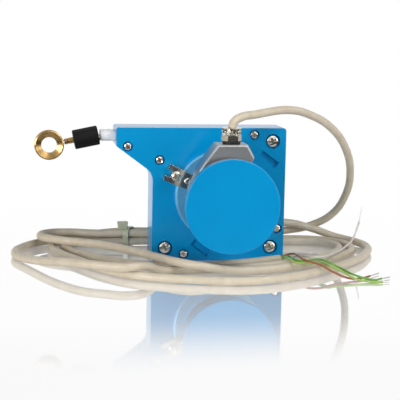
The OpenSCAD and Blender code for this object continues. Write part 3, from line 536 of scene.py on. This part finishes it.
# ---- Encoder -------------------------------------------------------------------------
# Bright-dipped aluminium flange, whose blue tint is a painted reflection of the housing,
# a fine-blasted grey die-cast body with the cable lug, and a cap coated like the housing.
blasted_casting = plated("blasted_aluminium_casting", "#9b9b9c", "#aeaeaf", 0.36,
                         scratch_mm=0.5, bump=0.25, edge_mm=1.0)
# The flange's two blues are a painted reflection of the blue housing.
flange_painted_reflection = plated("aluminium_painted_blue_reflection", "#5fb0dc", "#74bce4", 0.32,
                       scratch_mm=1.0, edge_mm=0.5, metallic=0.5)
gland_nickel = plated("dull_nickel_plate", "#a8a296", "#c2bcb0", 0.14)
finish_node("encoder_flange", flange_painted_reflection)
finish_node("encoder_body", blasted_casting)
finish_node("encoder_cap", blue_coat)
finish_node("cap_seal", seal_rubber)
finish_node("gland_seal", seal_rubber)
finish_node("gland_body", gland_nickel)


# ---- Gland nut -----------------------------------------------------------------------
# Nickel-plated brass: a knurled collar, a fluted grip and a plain rim, turned in one
# and screwed on the gland's body over the cable. Each is modelled as a ring, and its
# heights are shares of the nut's.
nut_low, nut_high = (Vector(corner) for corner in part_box("gland_nut"))
NUT_MIDDLE = (nut_low + nut_high) / 2
NUT_R = (nut_high.x - nut_low.x) / 2
NUT_TALL = nut_high.z - nut_low.z
NUT_BORE_R = CABLE_D / 2 + 0.2 * MM
NUT_EDGE = 0.1 * MM
GROOVE_SLANT = 0.25
BORED_SHARE = 0.9


def nut_ring(name, low, share, radius, sides, groove=0):
    """A ring on the gland's axis, every second side cut back, bored for the cable."""
    tall = share * NUT_TALL
    place = Vector((NUT_MIDDLE.x, NUT_MIDDLE.y, nut_low.z + low * NUT_TALL + tall / 2))
    bpy.ops.mesh.primitive_cylinder_add(vertices=sides, radius=radius, depth=tall,
                                        location=place)
    ring = start_piece(name)

    def every_second_side(middle, normal):
        turn = math.atan2(middle.y - place.y, middle.x - place.x) / math.tau * sides
        return abs(normal.z) < 0.5 and math.floor(turn) % 2 == 0

    if groove:
        pick_faces(ring, every_second_side)
        bpy.ops.mesh.inset(thickness=GROOVE_SLANT * groove, use_individual=True)
        shrink = 1 - groove / radius
        bpy.ops.transform.resize(value=(shrink, shrink, 1), center_override=place)
    top = place.z + tall / 2
    pick_faces(ring, lambda middle, normal: abs(middle.z - top) < 0.01 * MM)
    bpy.ops.mesh.inset(thickness=radius - NUT_BORE_R)
    bpy.ops.mesh.extrude_region_move(
        TRANSFORM_OT_translate={"value": (0, 0, -BORED_SHARE * tall)})
    close_piece(corner_degrees=30)
    apply_modifier(ring, "BEVEL", width=NUT_EDGE, segments=2, limit_method="ANGLE")
    ring.data.materials.append(gland_nickel)
    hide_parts("gland_nut")
    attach(ring, "housing")


nut_ring("gland_nut_collar", 0.0, 0.44, 0.90 * NUT_R, sides=48, groove=0.25 * MM)
nut_ring("gland_nut_grip", 0.44, 0.42, 0.96 * NUT_R, sides=20, groove=0.5 * MM)
nut_ring("gland_nut_rim", 0.86, 0.14, 0.99 * NUT_R, sides=48)


# ---- Wire end ------------------------------------------------------------------------
# White PTFE nozzle, black rubber stopper, brass sleeve crimped on the wire, and a
# turned brass ring with the wire laid in its groove.
ptfe = plastic("white_ptfe", "#f0f0f0", "#f8f8f8", 4.0, 0.3, 0.02)
black_rubber = plastic("moulded_black_rubber", "#0b0a0a", "#131212", 1.5, 0.6, 0.04, 0.15)
brass = plated("turned_brass", "#8a7044", "#aa8c5c", 0.24, scratch_mm=3.0)
wire_rope = plated("stainless_wire_rope", "#9a9b9c", "#bdbec0", 0.3, scratch_mm=0.4,
                   bump=0.4)
finish_node("wire_nozzle", ptfe)
finish_node("rubber_stopper", black_rubber)
finish_node("crimp_sleeve", brass)
finish_node("eyelet_ring", brass)
finish_node("wire_loop", wire_rope)


# ---- Measuring wire ------------------------------------------------------------------
# Stainless steel rope, 0.75 mm, from the drum through the neck and the nozzle to the
# stopper. It pays out as the ring is pulled; here it is one fixed mesh on neither body.
WIRE_D = 0.75 * MM
HANGS_FROM_X = -75.9 * MM
HANG_SLOPE = math.radians(11.7)
HANGING_RUNS = (0.7, 4, 8, 12, 16)
wire_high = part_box("draw_wire")[1]
WIRE_Z = wire_high[2] - WIRE_D / 2
rope_points = [(wire_high[0] / MM - step, 0, WIRE_Z / MM)
               for step in range(int((wire_high[0] - HANGS_FROM_X) / MM))]
rope_points += [(HANGS_FROM_X / MM - run * math.cos(HANG_SLOPE), 0,
                 WIRE_Z / MM - run * math.sin(HANG_SLOPE)) for run in HANGING_RUNS]
rope = lay_wire("draw_wire_rope", rope_points, WIRE_D, roundness=2, steps=1)
bpy.ops.object.select_all(action="DESELECT")
rope.select_set(True)
bpy.context.view_layer.objects.active = rope
bpy.ops.object.convert(target="MESH")
rope = bpy.context.object
rope.data.materials.append(wire_rope)
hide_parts("draw_wire")
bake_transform(rope)


# ---- Inside the housing and the encoder ----------------------------------------------
# Nothing of this shows when the object is whole. Each piece has its own finish.
turned_aluminium = plated("polished_turned_aluminium", "#d3d6d9", "#e4e7ea", 0.12)
spring_steel = plated("blued_spring_steel", "#4c5158", "#5d636b", 0.3)
black_oxide = plated("black_oxide_steel", "#1d1d1f", "#2a2a2c", 0.4)
bearing_steel = plated("ground_bearing_steel", "#c4c6c8", "#d6d8da", 0.1)
insert_brass = plated("plain_brass", "#b9934f", "#cba764", 0.3)
board_mask = plastic("green_solder_mask", "#0c4a2b", "#125a36", 2.0, 0.3, 0.02)
black_plastic = plastic("black_moulded_plastic", "#141415", "#1c1c1e", 1.5, 0.45, 0.03)
for node_name in ("wire_drum", "drum_shaft", "shaft_spacer", "board_pillars"):
    finish_node(node_name, turned_aluminium)
for node_name in ("bearing_outer_rings", "bearing_inner_rings", "bearing_balls"):
    finish_node(node_name, bearing_steel)
finish_node("wound_wire", wire_rope)
finish_node("spiral_spring", spring_steel)
finish_node("drum_set_screw", black_oxide)
finish_node("shaft_clip", black_oxide)
finish_node("rear_inserts", insert_brass)
finish_node("disc_hub", insert_brass)
finish_node("circuit_board", board_mask)
finish_node("read_head", black_plastic)

clear_glass, tree = new_material("code_disc_glass")
glass = add(tree, "ShaderNodeBsdfPrincipled", Roughness=0.02, IOR=1.5,
            Base_Color=linear("#dfeef2"), Transmission_Weight=0.9)
add(tree, "ShaderNodeOutputMaterial", {"Surface": glass.outputs[0]})
finish_node("code_disc", clear_glass)
